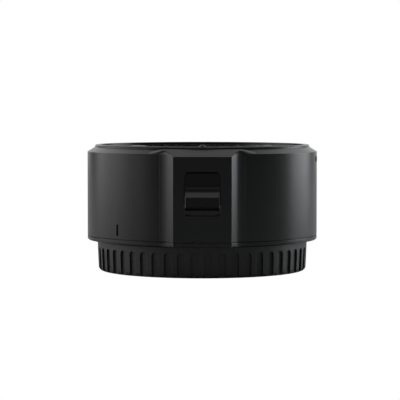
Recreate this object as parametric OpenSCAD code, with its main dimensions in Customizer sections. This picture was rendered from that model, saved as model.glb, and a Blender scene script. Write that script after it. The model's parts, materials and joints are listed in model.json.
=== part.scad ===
// Lens adapter tube: joins an SLR lens to a mirrorless camera.
// Millimetres. Z is the optical axis, the lens side is up and the part stands on its rear cap.
// The flat panel with the release slide faces -Y. Angles called az are measured from that side,
// positive towards +X.

/* [Main sizes] */
// Distance from the camera seat to the lens seat
register = 28.5; // [26:0.25:40]
// Room between the light baffle and the barrel's bore
band_w = 6.8; // [6.4:0.1:10]
// Wall of the barrel
barrel_wall = 2.6; // [2.4:0.1:3]
// Height of the rear cap
cap_h = 9.3; // [8.8:0.1:14]

/* [Barrel] */
// Height of the base ring's visible edge
base_edge_h = 1.15; // [0.8:0.05:2]
// Height of the groove at the parting seam
seam_h = 0.3; // [0.1:0.05:0.5]
// Depth of the groove at the parting seam
seam_depth = 0.4; // [0.2:0.05:0.6]
// Height of the collar above the shoulder
collar_h = 0.7; // [0.5:0.1:1.2]
// Drop of the shoulder's cone from the collar to the barrel
shoulder_drop = 1.4; // [0.6:0.1:1.8]
// Width of the shoulder's cone between the barrel and the collar
shoulder_w = 2.3; // [1.6:0.1:3]
// Wall of the collar
collar_wall = 1.7; // [1.2:0.1:2.4]
// Depth of the lens seat below the collar's rim
seat_recess = 0.75; // [0.3:0.05:1]
// Thickness of the deck that carries the lens mount
deck_t = 1.5; // [1.2:0.1:2.5]

/* [Panel and window] */
// Width of the panel's flat
panel_w = 16.8; // [16:0.2:20]
// Width of the panel where its slopes meet the barrel
panel_foot_w = 21; // [20.4:0.2:24]
// Radius of the hollow rounding where the panel's slopes meet the barrel
panel_fillet = 2; // [0.5:0.1:3]
// Height of the panel above the front of the barrel
panel_rise = 1.8; // [1.4:0.1:2.4]
// Wall of the panel round the window
panel_wall = 1.2; // [0.8:0.1:1.4]
// Drop of the panel's top bevel from the collar to its front edge
panel_drop = 2.05; // [1.4:0.05:2.6]
// Width of the slide window
window_w = 10.6; // [9:0.2:12]
// Height of the slide window
window_h = 12.9; // [12:0.1:14]
// Height of the window's lower edge above the seam
window_z = 7.75; // [7:0.05:9]
// Radius of the window's corners
window_r = 1.5; // [0.5:0.1:3]

/* [Release slide] */
// Travel of the slide towards the camera side
slide_travel = 1.8; // [1.4:0.1:1.8]
// Gap between the slide and the side of its window
slide_gap = 0.25; // [0.1:0.05:0.5]
// Thickness of the slide's plate
slide_t = 1.3; // [1:0.1:1.5]
// Height of the crest above the panel
crest_proud = 0.5; // [0:0.1:1]
// Diameter of the lock pin
pin_d = 2; // [1.6:0.1:2.2]
// Length of the lock pin above the lens seat
pin_proud = 1.2; // [1:0.1:1.8]
// Wire diameter of the release spring
spring_wire = 0.4; // [0.3:0.05:0.5]
// Turns of the release spring
spring_turns = 7; // [5:1:9]

/* [Lens mount] */
// Thickness of the lens mount ring
lens_mount_t = 2.2; // [2:0.1:3]
// Radius of the throat between the lugs
throat_r = 24.1; // [22:0.1:28]
// How far the lugs reach into the throat
lug_depth = 1.9; // [1.2:0.1:2.4]
// Thickness of the lugs
lug_t = 1.3; // [1:0.1:1.6]
// Angle of each lug
lug_angle = 60; // [45:1:65]

/* [Camera mount] */
// Height of the camera seat below the base ring
seat_proud = 0.5; // [0.2:0.1:0.7]
// Thickness of the camera mount's flange
flange_t = 1.2; // [1:0.1:1.6]
// Inner radius of the male collar
male_bore_r = 19.6; // [17:0.1:23]
// Wall of the male collar
male_wall = 1.6; // [1.2:0.1:2]
// Length of the male collar below the camera seat
male_l = 4.8; // [4.4:0.1:5.2]
// How far the tabs stand out of the male collar
tab_depth = 1.6; // [1:0.1:2]
// Thickness of the tabs
tab_t = 1.4; // [1:0.1:1.6]
// Angle of each tab
tab_angle = 52; // [40:1:60]

/* [Rear cap] */
// Step from the cap's rim in from the barrel
cap_step = 3; // [2.8:0.05:3.6]
// How much the cap narrows from its rim to its foot
cap_draft = 0.35; // [0:0.05:0.8]
// Radius of the rounding at the cap's foot
cap_round = 1.2; // [0.8:0.1:2.4]
// Wall of the cap
cap_wall = 1.5; // [1.3:0.05:1.8]
// Floor of the cap
cap_floor = 1.6; // [1:0.1:2]
// Number of flutes
flutes = 50; // [24:1:60]
// Width of each flute
flute_w = 2.3; // [1:0.1:2.6]
// Depth of each flute
flute_depth = 0.6; // [0.2:0.05:0.7]
// Plain band above the flutes
flute_band = 1.9; // [1:0.1:4]
// Gap between the cap's rim and the base ring
cap_gap = 0.2; // [0.1:0.05:0.4]

/* [Inside] */
// Gap between the throat and the outside of the light baffle
baffle_gap = 1.5; // [1.3:0.1:2]
// Wall of the light baffle
baffle_wall = 1; // [0.8:0.1:1.2]
// Number of anti-glare steps in the baffle
baffle_steps = 18; // [8:1:24]
// Height of the base ring's spigot inside the barrel
spigot_h = 1.95; // [1.6:0.05:3]
// Number of contact pins on the lens side
pin_count = 8; // [4:1:10]
// Travel of the contact pins
contact_travel = 0.6; // [0.3:0.1:0.8]
// Number of contact pads on the camera side
pad_count = 10; // [4:1:12]
// Thickness of the circuit board
board_t = 0.8; // [0.6:0.1:1.2]

/* [Hidden] */
$fn = 96;
eps = 0.02;
fit_gap = 0.1;
run_gap = 0.06;

// Heights
base_z = cap_h + cap_gap;
seam_z = base_z + base_edge_h;
camera_seat_z = base_z - seat_proud;
seat_z = camera_seat_z + register;
top_z = seat_z + seat_recess;
shoulder_z = top_z - collar_h;
deck_top = seat_z - lens_mount_t;
deck_bottom = deck_top - deck_t;
spigot_top = seam_z + spigot_h;
flange_top = camera_seat_z + flange_t;
male_end = camera_seat_z - male_l;
tab_low = male_end + 0.7;

// Radii, from the light path outwards
male_r = male_bore_r + male_wall;
tab_r = male_r + tab_depth;
base_bore_r = tab_r + 0.2;
baffle_low_r = base_bore_r + 1.4;
camera_ear_r = base_bore_r + 2.6;
baffle_r = throat_r + baffle_gap;
lug_r = throat_r - lug_depth;
inside_r = max(baffle_r, baffle_low_r, camera_ear_r);
bore_r = inside_r + band_w;
barrel_r = bore_r + barrel_wall;
collar_out_r = barrel_r - shoulder_w;
collar_bore_r = collar_out_r - collar_wall;
mount_r = collar_bore_r - fit_gap;
deck_bore_r = throat_r + 0.5;
spigot_r = bore_r - fit_gap;
flange_r = bore_r - 2.5;
cap_r = barrel_r - cap_step;
cap_foot_r = cap_r - cap_draft;
flute_turn = -0.065;
spring_ring_w = 2.4;
spring_ring_r = deck_bore_r + 0.2 + spring_ring_w;
spring_ring_t = 0.3;

// Panel, window and slide, as distances from the axis towards the front
panel_y = barrel_r + panel_rise;
pocket_y = panel_y - panel_wall;
plate_y = pocket_y - fit_gap;
plate_back_y = plate_y - slide_t;
carriage_t = 1;
carriage_back_y = plate_back_y - carriage_t;
pad_y = carriage_back_y - fit_gap;
retainer_t = 1;
pad_t = 1.1;
retainer_y = pad_y - pad_t;
retainer_back_y = retainer_y - retainer_t;
pocket_w = 15.2;
plate_w = pocket_w - 2 * 0.3;
retainer_w = 22;
guide_w = 1.6;
guide_at = 6.4;
shelf_w = 5.6;
window_low = seam_z + window_z;
window_top = window_low + window_h;
slide_w = window_w - 2 * slide_gap;
foot_z = window_low + 0.4;
foot_h = 1.7;
foot_lean = 0.45;
groove_h = 0.4;
groove_depth = 0.8;
crest_h = 3;
crest_ramp = 1.5;
crest_side = 0.45;
face_top = window_top - 0.4;
face_step = 0.35;
plate_low = window_low + 3.2;
plate_top = deck_bottom - 0.3;
slide_screw_at = 3.4;
slide_screw_drop = 3.4;
retainer_screw_out = 1.8;
pocket_top = deck_bottom - fit_gap;
pocket_low = foot_z - slide_travel - 0.6;

// Lock pin, its arm and its spring
pin_r = pin_d / 2;
pin_y = retainer_back_y - 2.4;
arm_z = window_low + 5.6;
arm_t = 1.2;
arm_w = 3.8;
arm_end_y = pin_y - 1.7;
shelf_z = spigot_top + 0.6;
shelf_t = 0.8;
shelf_reach = 2.2;
spring_low = shelf_z + shelf_t;
spring_r = pin_r + 0.6;

// Screws and pillars
pillar_az = [48, 132, 228, 312];
pillar_at = inside_r + 2.6;
pillar_r = 2.3;
camera_screw_az = [15, 105, 195, 285];
camera_screw_at = flange_r - 3.3;

// Contacts, board and baffle at the back, az 180
back_az = 180;
block_h = 3.4;
block_w = 3.3;
block_top = deck_top - 2.3;
block_low = block_top - block_h;
block_out_r = throat_r - 0.1;
block_in_r = block_out_r - block_w;
block_mid_r = (block_in_r + block_out_r) / 2;
block_angle = 50;
neck_low = block_low + 1.6;
ear_in = 20;
ear_at = baffle_r + 1.4;
ear_out_r = ear_at + 1.6;
pin_head_r = 0.45;
pin_seat_z = block_low + 0.8;
camera_block_w = 2.5;
camera_block_angle = 56;
camera_block_out_r = male_bore_r - fit_gap;
camera_block_in_r = camera_block_out_r - camera_block_w;
camera_block_low = male_end + 0.4;
camera_ear_t = 0.8;
camera_ear_top = spigot_top + camera_ear_t;
camera_ear_at = base_bore_r + 1.5;
pad_thick = 0.12;
post_h = 1;
board_z = spigot_top + post_h;
board_top = board_z + board_t;
board_in_r = inside_r + 0.7;
board_out_r = bore_r - 0.9;
board_half = 41;
board_screw_az = [146, 214];
board_screw_at = (board_in_r + board_out_r) / 2;
baffle_bend = 8;

// A place at radius r and angle az from the front
module at(az, r, z) {
    rotate([0, 0, az - 90])
        translate([r, 0, z])
            children();
}

// A ring from r1 to r2, between two heights
module ring(r1, r2, z1, z2) {
    translate([0, 0, z1])
        difference() {
            cylinder(r = r2, h = z2 - z1);
            translate([0, 0, -1])
                cylinder(r = r1, h = z2 - z1 + 2);
        }
}

// A pie slice, angle wide and centred on az, that reaches past radius r; under 120 degrees
module slice(az, angle, r, z1, z2) {
    reach = r / cos(angle / 2) + 1;
    rotate([0, 0, az - 90])
        translate([0, 0, z1])
            linear_extrude(height = z2 - z1)
                polygon([[0, 0],
                    [reach * cos(angle / 2), -reach * sin(angle / 2)],
                    [reach * cos(angle / 2), reach * sin(angle / 2)]]);
}

// A part of a ring
module ring_part(r1, r2, z1, z2, az, angle) {
    intersection() {
        ring(r1, r2, z1, z2);
        slice(az, angle, r2, z1 - 1, z2 + 1);
    }
}

// A flat outline with true round corners
module round_rect(w, h, r) {
    square([w - 2 * r, h], center = true);
    square([w, h - 2 * r], center = true);
    for (sx = [-1, 1], sy = [-1, 1])
        translate([sx * (w / 2 - r), sy * (h / 2 - r)])
            circle(r = r, $fn = 32);
}

// A block cut along the front, y being the distance from the axis
module front_block(w, y1, y2, z1, z2) {
    translate([-w / 2, -y2, z1])
        cube([w, y2 - y1, z2 - z1]);
}

// A screw along Z, head up, with its head's top at z = 0; sink is the height of a conical head
module screw(head_r, head_t, shank_r, length, sink = false) {
    slot_w = head_r * 0.28;
    difference() {
        union() {
            if (sink) {
                translate([0, 0, -head_t])
                    cylinder(r1 = shank_r, r2 = head_r, h = head_t, $fn = 48);
            } else {
                translate([0, 0, -head_t])
                    cylinder(r = head_r, h = head_t, $fn = 48);
            }
            translate([0, 0, -length])
                cylinder(r = shank_r, h = length - head_t + eps, $fn = 48);
        }
        for (turn = [0, 90])
            rotate([0, 0, turn])
                translate([-head_r * 0.62, -slot_w / 2, -head_t * 0.55])
                    cube([head_r * 1.24, slot_w, head_t]);
    }
}

// The hole for such a screw
module screw_hole(head_r, head_t, shank_r, length, sink = false) {
    gap = 0.05;
    translate([0, 0, -length - 0.2])
        cylinder(r = shank_r + gap, h = length + 0.2, $fn = 48);
    if (sink) {
        translate([0, 0, -head_t - gap])
            cylinder(r1 = shank_r + gap, r2 = head_r + 2 * gap, h = head_t + 2 * gap, $fn = 48);
    }
}

// Screw sizes: head radius, head height, shank radius, length
mount_screw = [1.65, 0.9, 0.85, 4.4];
base_screw = [1.45, 0.8, 0.8, 6];
camera_screw = [1.6, 0.9, 0.8, 3.1];
small_screw = [1.15, 0.6, 0.6, 2.1];

// The right half of the panel's outline, its slope rounded into the barrel. The rounding touches
// the slope and the barrel, so its centre lies off both by the same radius.
function panel_half() =
    let (foot_y = sqrt(pow(barrel_r, 2) - pow(panel_foot_w / 2, 2)),
        slope = [panel_foot_w / 2 - panel_w / 2, foot_y - panel_y],
        along = slope / norm(slope),
        out = [-along[1], along[0]],
        start = [panel_w / 2, panel_y] + panel_fillet * out,
        far = pow(barrel_r + panel_fillet, 2),
        run = -start * along - sqrt(pow(start * along, 2) - start * start + far),
        middle = start + run * along,
        a1 = atan2(-out[1], -out[0]),
        a2 = atan2(-middle[1], -middle[0]),
        steps = 6)
    concat([[panel_w / 2, panel_y]],
        [for (i = [0 : steps])
            let (a = a1 + (a2 - a1) * i / steps,
                sink = i == steps ? 1 - eps / barrel_r : 1)
            sink * (middle + panel_fillet * [cos(a), sin(a)])]);

module panel_plan() {
    half = panel_half();
    last = len(half) - 1;
    polygon(concat([for (i = [0 : last]) [half[i][0], -half[i][1]]], [[0, 0]],
        [for (i = [last : -1 : 0]) [-half[i][0], -half[i][1]]]));
}

// The barrel's plan outline with the panel
module plan() {
    circle(r = barrel_r, $fn = 180);
    panel_plan();
}

// What lies outside the shoulder: the cone all round, and the flat bevel over the panel
module shoulder_cone() {
    rotate_extrude($fn = 180)
        polygon([[0, 0], [barrel_r, 0], [barrel_r, shoulder_z - shoulder_drop],
            [collar_out_r, shoulder_z], [collar_out_r, top_z - 0.3],
            [collar_out_r - 0.3, top_z], [0, top_z]]);
}

module panel_block() {
    intersection() {
        linear_extrude(height = shoulder_z)
            panel_plan();
        rotate([90, 0, 90])
            translate([0, 0, -panel_foot_w])
                linear_extrude(height = 2 * panel_foot_w)
                    polygon([[0, 0], [-panel_y, 0], [-panel_y, shoulder_z - panel_drop],
                        [-collar_out_r, shoulder_z], [0, shoulder_z]]);
    }
}

// The index line low on the left and the dimple high on the right
index_az = -45.4;
index_low = seam_z + 1.25;
index_h = 3.4;
index_w = 0.75;
dimple_az = 82;
dimple_z = shoulder_z - 3.7;
dimple_r = 0.85;
engraving = 0.4;
nick_x = -2.5;
nick_r = 0.35;

module pillars() {
    for (az = pillar_az)
        difference() {
            union() {
                at(az, pillar_at, spigot_top)
                    cylinder(r = pillar_r, h = deck_bottom - spigot_top + eps, $fn = 48);
                at(az, pillar_at, spigot_top)
                    translate([0, -1, 0])
                        cube([bore_r - pillar_at + 0.6, 2, deck_bottom - spigot_top + eps]);
            }
            at(az, pillar_at, spigot_top - 1)
                cylinder(r = base_screw[2] + 0.05, h = base_screw[3], $fn = 48);
        }
}

module outer_shell() color([0.1, 0.1, 0.105])
    difference() {
        union() {
            difference() {
                union() {
                    shoulder_cone();
                    panel_block();
                }
                // Everything below the seam, and the seam's groove
                translate([0, 0, -1])
                    cylinder(r = 2 * barrel_r, h = seam_z + 1);
                difference() {
                    translate([0, 0, seam_z - 1])
                        cylinder(r = 2 * barrel_r, h = 1 + seam_h);
                    translate([0, 0, seam_z - 2])
                        linear_extrude(height = 4)
                            seam_plan();
                }
                // The bore, the deck's bore and the collar's bore
                translate([0, 0, seam_z - 1])
                    cylinder(r = bore_r, h = deck_bottom - seam_z + 1);
                translate([0, 0, seam_z])
                    cylinder(r = deck_bore_r, h = register + 5);
                translate([0, 0, deck_top - spring_ring_t])
                    cylinder(r = spring_ring_r + fit_gap, h = 1);
                translate([0, 0, deck_top])
                    cylinder(r = collar_bore_r, h = 10);
                // The pocket of the slide, the seat of the retainer and the window
                front_block(pocket_w, bore_r - 3, pocket_y, pocket_low, pocket_top);
                front_block(retainer_w + 0.4, bore_r - 6, retainer_y, shelf_z - 0.3, pocket_top);
                window_cut();
            }
            pillars();
        }
        for (az = pillar_az)
            at(az, pillar_at, seat_z)
                screw_hole(mount_screw[0], mount_screw[1], mount_screw[2], mount_screw[3]);
        // Passage of the lock pin through the deck
        at(0, pin_y, deck_bottom - 1)
            cylinder(r = pin_r + 0.3, h = 4, $fn = 48);
        retainer_screw_places()
            screw_hole(small_screw[0], small_screw[1], small_screw[2], small_screw[3] + retainer_t - 0.4);
        for (side = [-1, 1])
            at(back_az + side * ear_in, ear_at, deck_bottom)
                rotate([180, 0, 0])
                    screw_hole(small_screw[0], small_screw[1], small_screw[2], 0.9);
        // Index line, dimple and nick
        at(index_az, barrel_r, index_low)
            translate([-engraving, -index_w / 2, 0])
                cube([1, index_w, index_h]);
        at(dimple_az, barrel_r - engraving, dimple_z)
            rotate([0, 90, 0])
                cylinder(r = dimple_r, h = 2, $fn = 32);
        translate([nick_x, -panel_y, seam_z + seam_h])
            sphere(r = nick_r, $fn = 24);
    }

// The plan outline inside the seam's groove
module seam_plan() {
    inner = (barrel_r - seam_depth) / barrel_r;
    scale(inner)
        plan();
}

module window_cut() {
    mid = (window_low + window_top) / 2;
    translate([0, -pocket_y + 1, mid])
        rotate([90, 0, 0])
            linear_extrude(height = panel_wall + 2)
                round_rect(window_w, window_h, window_r);
}

module base_ring() color([0.1, 0.1, 0.105])
    difference() {
        union() {
            // The edge with its small chamfer below
            intersection() {
                translate([0, 0, base_z])
                    linear_extrude(height = base_edge_h)
                        plan();
                base_chamfer();
            }
            ring(base_bore_r, spigot_r, base_z, spigot_top);
            for (az = board_screw_az)
                at(az, board_screw_at, spigot_top - eps)
                    cylinder(r = 1.5, h = board_z - spigot_top + eps, $fn = 48);
        }
        translate([0, 0, base_z - 1])
            cylinder(r = base_bore_r, h = spigot_top - base_z + 2);
        // Recess of the camera mount's flange
        translate([0, 0, base_z - 1])
            cylinder(r = flange_r + fit_gap, h = 1 + flange_top - base_z);
        for (az = pillar_az)
            at(az, pillar_at, flange_top)
                rotate([180, 0, 0])
                    screw_hole(base_screw[0], base_screw[1], base_screw[2], base_screw[3], true);
        for (az = camera_screw_az)
            at(az, camera_screw_at, camera_seat_z)
                rotate([180, 0, 0])
                    screw_hole(camera_screw[0], camera_screw[1], camera_screw[2], camera_screw[3]);
        for (az = board_screw_az)
            at(az, board_screw_at, board_top)
                screw_hole(small_screw[0], small_screw[1], small_screw[2], small_screw[3]);
        for (side = [-1, 1])
            at(back_az + side * ear_in, camera_ear_at, camera_ear_top)
                screw_hole(small_screw[0], small_screw[1], small_screw[2], small_screw[3]);
    }

// A stack that trims the base ring's lower edge to a small chamfer
module base_chamfer() {
    edge = 0.3;
    full = (barrel_r - edge) / barrel_r;
    translate([0, 0, base_z]) {
        linear_extrude(height = base_edge_h)
            scale(full)
                plan();
        translate([0, 0, edge])
            linear_extrude(height = base_edge_h - edge)
                plan();
    }
}

// Ring with an undercut below the three lugs, and gaps between them for the lens's tabs
module lens_mount() color([0.72, 0.72, 0.73])
    difference() {
        rotate_extrude($fn = 120)
            polygon([[throat_r, deck_top], [mount_r, deck_top], [mount_r, seat_z - 0.15],
                [mount_r - 0.15, seat_z], [lug_r, seat_z], [lug_r, seat_z - lug_t],
                [throat_r, seat_z - lug_t]]);
        for (az = [0, 120, 240])
            ring_part(lug_r - 2, throat_r + 0.15, deck_top - 1, seat_z + 1, az, 120 - lug_angle);
        for (az = pillar_az)
            at(az, pillar_at, seat_z)
                screw_hole(mount_screw[0], mount_screw[1], mount_screw[2], mount_screw[3], true);
        at(0, pin_y, deck_top - 1)
            cylinder(r = pin_r + run_gap, h = lens_mount_t + 2, $fn = 48);
    }

// Leaf spring ring in the deck's recess, with three leaves that reach in under the lugs
module lens_mount_spring() color([0.6, 0.58, 0.5]) {
    z1 = deck_top - spring_ring_t;
    leaf_in = lug_r + 0.4;
    ring(deck_bore_r + 0.2, spring_ring_r, z1, deck_top);
    for (az = [60, 180, 300]) {
        ring_part(leaf_in, throat_r - 0.1, z1, deck_top, az, 44);
        ring_part(leaf_in, deck_bore_r + 0.3, z1, deck_top, az + 19, 7);
    }
}

module lens_mount_screws() color([0.5, 0.5, 0.52])
    for (az = pillar_az)
        at(az, pillar_at, seat_z)
            screw(mount_screw[0], mount_screw[1], mount_screw[2], mount_screw[3], true);

// Light baffle with anti-glare steps, cut back where the contact blocks pass
module inner_tube() color([0.05, 0.05, 0.05]) {
    low = spigot_top;
    high = deck_bottom;
    step = (high - low - 2) / baffle_steps;
    difference() {
        rotate_extrude($fn = 120)
            polygon(concat(
                [[baffle_low_r, low], [baffle_r, low + baffle_bend], [baffle_r, high],
                    [baffle_r - baffle_wall, high]],
                [for (i = [0 : baffle_steps - 1], k = [0, 1])
                    let (z = high - 1 - (i + k) * step,
                        r = baffle_inner(z, low))
                    [k == 0 ? r : r - 0.35, z]],
                [[baffle_low_r - baffle_wall, low]]));
        ring_part(baffle_r - 3, inside_r + 1, block_low - 0.4, high + 1, back_az, block_angle + 10);
        ring_part(male_r, inside_r + 1, low - 1, camera_ear_top + small_screw[1] + 0.3,
            back_az, camera_block_angle + 8);
    }
}

function baffle_inner(z, low) =
    z > low + baffle_bend ? baffle_r - baffle_wall
    : baffle_low_r - baffle_wall + (baffle_r - baffle_low_r) * max(0, z - low) / baffle_bend;

module camera_mount() color([0.72, 0.72, 0.73])
    difference() {
        union() {
            ring(male_bore_r, flange_r, camera_seat_z, flange_top);
            ring(male_bore_r, male_r, male_end, camera_seat_z + eps);
            for (az = [60, 180, 300])
                ring_part(male_r - eps, tab_r, tab_low, tab_low + tab_t, az, tab_angle);
        }
        for (az = camera_screw_az)
            at(az, camera_screw_at, camera_seat_z)
                rotate([180, 0, 0])
                    screw_hole(camera_screw[0], camera_screw[1], camera_screw[2], camera_screw[3], true);
        // Hole for the camera's own lock pin
        at(75, camera_screw_at, camera_seat_z - 1)
            cylinder(r = 1.6, h = flange_t + 2, $fn = 48);
    }

module camera_mount_screws() color([0.5, 0.5, 0.52])
    for (az = camera_screw_az)
        at(az, camera_screw_at, camera_seat_z)
            rotate([180, 0, 0])
                screw(camera_screw[0], camera_screw[1], camera_screw[2], camera_screw[3], true);

module base_ring_screws() color([0.3, 0.3, 0.32])
    for (az = pillar_az)
        at(az, pillar_at, flange_top)
            rotate([180, 0, 0])
                screw(base_screw[0], base_screw[1], base_screw[2], base_screw[3], true);

// The slide's side view, y being negative towards the front
module slide_side() {
    crest_y = panel_y + crest_proud;
    groove_y = plate_y - groove_depth;
    groove_z = foot_z + foot_h;
    crest_z = groove_z + groove_h;
    crest_top = crest_z + crest_h;
    polygon([[-plate_y, foot_z], [-plate_y + foot_lean, groove_z], [-groove_y, groove_z],
        [-groove_y, crest_z], [-crest_y + 0.25, crest_z], [-crest_y, crest_z + 0.25],
        [-crest_y, crest_top - 0.1], [-crest_y + 0.1, crest_top],
        [-plate_y, crest_top + crest_ramp], [-plate_y, plate_top],
        [-plate_back_y, plate_top], [-plate_back_y, foot_z]]);
}

// What is cut from the plate's front above its face, with a bevel down to the cut
module face_cut() {
    bevel = 0.15;
    rotate([90, 0, 90])
        translate([0, 0, -window_w / 2 - 0.2])
            linear_extrude(height = window_w + 0.4)
                polygon([[-plate_y - 1, face_top - bevel], [-plate_y, face_top - bevel],
                    [-plate_y + face_step, face_top + bevel],
                    [-plate_y + face_step, plate_top + 1], [-plate_y - 1, plate_top + 1]]);
}

module release_slide() color([0.07, 0.07, 0.075])
    difference() {
        union() {
            // The middle with its ramp, crest, groove and foot
            intersection() {
                rotate([90, 0, 90])
                    translate([0, 0, -slide_w / 2])
                        linear_extrude(height = slide_w)
                            slide_side();
                // Chamfered flanks of the crest
                linear_extrude(height = top_z)
                    polygon([[-slide_w / 2, 0], [-slide_w / 2, -panel_y],
                        [-slide_w / 2 + crest_side, -panel_y - crest_proud],
                        [slide_w / 2 - crest_side, -panel_y - crest_proud],
                        [slide_w / 2, -panel_y], [slide_w / 2, 0]]);
                // Round lower corners of the foot
                translate([0, 0, (foot_z + plate_top) / 2])
                    rotate([90, 0, 0])
                        linear_extrude(height = 2 * barrel_r)
                            round_rect(slide_w, plate_top - foot_z, window_r - slide_gap);
            }
            // The wide plate that runs behind the panel
            front_block(plate_w, plate_back_y, plate_y, plate_low, plate_top);
        }
        face_cut();
        slide_screw_places()
            screw_hole(small_screw[0], small_screw[1], small_screw[2], small_screw[3] - 0.1);
    }

// Screws that hold the slide to its carriage, put in from behind
module slide_screw_places() {
    for (side = [-1, 1])
        translate([side * slide_screw_at, -carriage_back_y + small_screw[1],
            plate_top - slide_screw_drop])
            rotate([-90, 0, 0])
                children();
}

module slide_screws() color([0.5, 0.5, 0.52])
    slide_screw_places()
        screw(small_screw[0], small_screw[1], small_screw[2], small_screw[3]);

module slide_carriage() color([0.62, 0.62, 0.64])
    difference() {
        union() {
            front_block(plate_w, carriage_back_y, plate_back_y, plate_low + 0.4, plate_top);
            front_block(arm_w, arm_end_y, carriage_back_y + eps, arm_z, arm_z + arm_t);
        }
        at(0, pin_y, arm_z - 1)
            cylinder(r = pin_r - 0.18, h = arm_t + 2, $fn = 48);
        slide_screw_places()
            screw_hole(small_screw[0], small_screw[1], small_screw[2], small_screw[3]);
    }

// Lock pin with a rounded tip, riveted into the arm by a thinner tail
module lock_pin() color([0.75, 0.75, 0.77]) {
    tip = seat_z + pin_proud;
    at(0, pin_y, 0)
        rotate_extrude($fn = 48)
            polygon([[0, arm_z - 0.3], [pin_r - 0.2, arm_z - 0.3], [pin_r - 0.2, arm_z + arm_t],
                [pin_r, arm_z + arm_t], [pin_r, tip - 0.4], [pin_r - 0.4, tip], [0, tip]]);
}

// Coil spring between the retainer's shelf and the arm: a tube swept along a helix
module release_spring() color([0.7, 0.7, 0.72]) {
    rings = 12 * spring_turns;
    sides = 6;
    r = spring_wire / 2;
    run = arm_z - spring_low - spring_wire;
    pts = [for (i = [0 : rings], k = [0 : sides - 1])
        let (turn = 360 * i / 12,
            reach = spring_r + r * cos(360 * k / sides))
        [reach * cos(turn), reach * sin(turn) - pin_y,
            spring_low + r + run * i / rings + r * sin(360 * k / sides)]];
    skin = [for (i = [0 : rings - 1], k = [0 : sides - 1])
        let (a = i * sides + k, b = i * sides + (k + 1) % sides)
        [a, a + sides, b + sides, b]];
    ends = [[for (k = [0 : sides - 1]) k],
        [for (k = [sides - 1 : -1 : 0]) rings * sides + k]];
    polyhedron(points = pts, faces = concat(skin, ends));
}

module retainer_screw_places() {
    for (side = [-1, 1], z = [shelf_z + 5, pocket_top - 3])
        translate([side * (pocket_w / 2 + retainer_screw_out), -retainer_back_y + small_screw[1], z])
            rotate([-90, 0, 0])
                children();
}

// Plate behind the slide: two guide pads, a slot for the arm, and a shelf for the spring
module slide_retainer() color([0.6, 0.6, 0.62])
    difference() {
        union() {
            front_block(retainer_w, retainer_back_y, retainer_y, shelf_z, pocket_top - 0.3);
            for (side = [-1, 1])
                translate([side * guide_at, 0, 0])
                    front_block(guide_w, retainer_y - eps, pad_y, pocket_low + 1, pocket_top - 0.3);
            front_block(shelf_w, pin_y - shelf_reach, retainer_back_y + eps, shelf_z, shelf_z + shelf_t);
            at(0, pin_y, shelf_z)
                cylinder(r = spring_r - spring_wire / 2 - 0.12, h = shelf_t + 1, $fn = 48);
        }
        front_block(arm_w + 0.8, retainer_back_y - 1, retainer_y + 1,
            arm_z - slide_travel - 0.5, arm_z + arm_t + 0.5);
        retainer_screw_places()
            screw_hole(small_screw[0], small_screw[1], small_screw[2], small_screw[3]);
    }

module retainer_screws() color([0.5, 0.5, 0.52])
    retainer_screw_places()
        screw(small_screw[0], small_screw[1], small_screw[2], small_screw[3] + retainer_t - 0.6);

// Places of the contact pins and pads along their arcs
function fan(i, count, half) = back_az - half + 2 * half * i / (count - 1);

module lens_contact_block() color([0.08, 0.08, 0.08])
    difference() {
        union() {
            ring_part(block_in_r, block_out_r, block_low, block_top, back_az, block_angle);
            ring_part(block_out_r - eps, ear_out_r, neck_low, block_top, back_az, block_angle);
            ring_part(deck_bore_r + fit_gap, ear_out_r, neck_low, deck_bottom, back_az, block_angle);
        }
        for (i = [0 : pin_count - 1])
            at(fan(i, pin_count, 19), block_mid_r, pin_seat_z)
                cylinder(r = pin_head_r + run_gap, h = block_h + 1, $fn = 32);
        for (side = [-1, 1])
            at(back_az + side * ear_in, ear_at, neck_low)
                rotate([180, 0, 0])
                    screw_hole(small_screw[0], small_screw[1], small_screw[2], block_h + 1);
    }

module lens_contact_pins() color([0.85, 0.7, 0.35]) {
    foot = pin_seat_z + contact_travel + 0.1;
    for (i = [0 : pin_count - 1])
        at(fan(i, pin_count, 19), block_mid_r, 0)
            rotate_extrude($fn = 32)
                polygon([[0, foot], [pin_head_r, foot], [pin_head_r, block_top + 0.5],
                    [pin_head_r - 0.2, block_top + 0.75], [0, block_top + 0.75]]);
}

module lens_contact_screws() color([0.5, 0.5, 0.52])
    for (side = [-1, 1])
        at(back_az + side * ear_in, ear_at, neck_low - small_screw[1])
            rotate([180, 0, 0])
                screw(small_screw[0], small_screw[1], small_screw[2],
                    deck_bottom - neck_low + small_screw[1] + 0.8);

module camera_contact_block() color([0.08, 0.08, 0.08])
    difference() {
        union() {
            ring_part(camera_block_in_r, camera_block_out_r, camera_block_low, camera_ear_top,
                back_az, camera_block_angle);
            ring_part(camera_block_out_r - eps, camera_ear_r, spigot_top, camera_ear_top,
                back_az, camera_block_angle);
        }
        for (side = [-1, 1])
            at(back_az + side * ear_in, camera_ear_at, camera_ear_top)
                screw_hole(small_screw[0], small_screw[1], small_screw[2], small_screw[3]);
    }

module camera_contact_pads() color([0.85, 0.7, 0.35])
    for (i = [0 : pad_count - 1])
        at(fan(i, pad_count, 23), (camera_block_in_r + camera_block_out_r) / 2,
            camera_block_low - pad_thick)
            translate([-0.8, -0.45, 0])
                cube([1.6, 0.9, pad_thick]);

module camera_contact_screws() color([0.5, 0.5, 0.52])
    for (side = [-1, 1])
        at(back_az + side * ear_in, camera_ear_at, camera_ear_top + small_screw[1])
            screw(small_screw[0], small_screw[1], small_screw[2], small_screw[3] + small_screw[1] - 0.3);

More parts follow.
